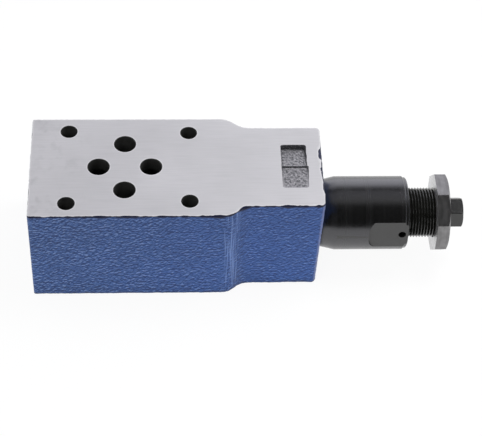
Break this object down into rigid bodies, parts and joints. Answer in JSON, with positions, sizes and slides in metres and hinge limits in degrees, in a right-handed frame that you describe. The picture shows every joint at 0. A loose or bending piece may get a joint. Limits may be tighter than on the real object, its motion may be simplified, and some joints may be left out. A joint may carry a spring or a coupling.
{
  "type": "hydraulic sandwich valve",
  "caption": "Sandwich-plate hydraulic valve: cast body with ported ground faces, sprung inner spool, and a threaded pressure adjuster with hexagon end and flat lock nut.",
  "frame": {"origin": "centre of the four-bolt pattern on the bottom ground face", "axes": "+X along the body towards the adjuster, +Y from port P towards port T, +Z from the bottom ground face towards the top one"},
  "size_m": [0.1467, 0.044, 0.04],
  "materials": {
    "painted_casting": "rough cast sides in blue paint, bare ground top and bottom",
    "black_oxide": "turned, black oxide, satin",
    "nut_steel": "turned and milled steel",
    "turned_steel": "ground steel",
    "spring_steel": "oil-tempered wire",
    "seal_rubber": "matte black rubber",
    "backup_plastic": "off-white slippery plastic"
  },
  "bodies": {
    "housing": {"valve_body": "painted_casting", "adjuster_sleeve": "black_oxide", "sleeve_o_ring": "seal_rubber", "end_plug": "black_oxide", "end_plug_o_ring": "seal_rubber", "port_ring_p": "seal_rubber", "port_ring_t": "seal_rubber", "port_ring_a": "seal_rubber", "port_ring_b": "seal_rubber"},
    "spool": {"control_spool": "turned_steel", "damping_orifice": "turned_steel", "spring_plate": "turned_steel"},
    "seat": {"spring_seat": "turned_steel", "thrust_ball": "turned_steel", "main_spring": "spring_steel"},
    "spindle": {"set_spindle": "black_oxide", "spindle_o_ring": "seal_rubber", "spindle_backup_ring": "backup_plastic", "retaining_ring": "spring_steel"},
    "nut": {"lock_nut": "nut_steel"}
  },
  "joints": [
    {"name": "spool_slide", "type": "slide", "parent": "housing", "child": "spool", "axis": [1, 0, 0], "range_m": [0, 0.003], "stiffness_N_per_m": 20000, "springref_m": -0.001, "deforming": ["main_spring"]},
    {"name": "seat_slide", "type": "slide", "parent": "housing", "child": "seat", "axis": [1, 0, 0], "range_m": [-0.004, 0], "deforming": ["main_spring"]},
    {"name": "spindle_turn", "type": "hinge", "parent": "seat", "child": "spindle", "pos_m": [0.066, -0.0034, 0.02], "axis": [1, 0, 0], "range_deg": [-1440, 0]},
    {"name": "lock_nut_run", "type": "slide", "parent": "spindle", "child": "nut", "axis": [1, 0, 0], "range_m": [-0.0045, 0]}
  ],
  "couplings": [
    {"joint": "spindle_turn", "follows": "seat_slide", "rad_per_m": 6283.2}
  ]
}
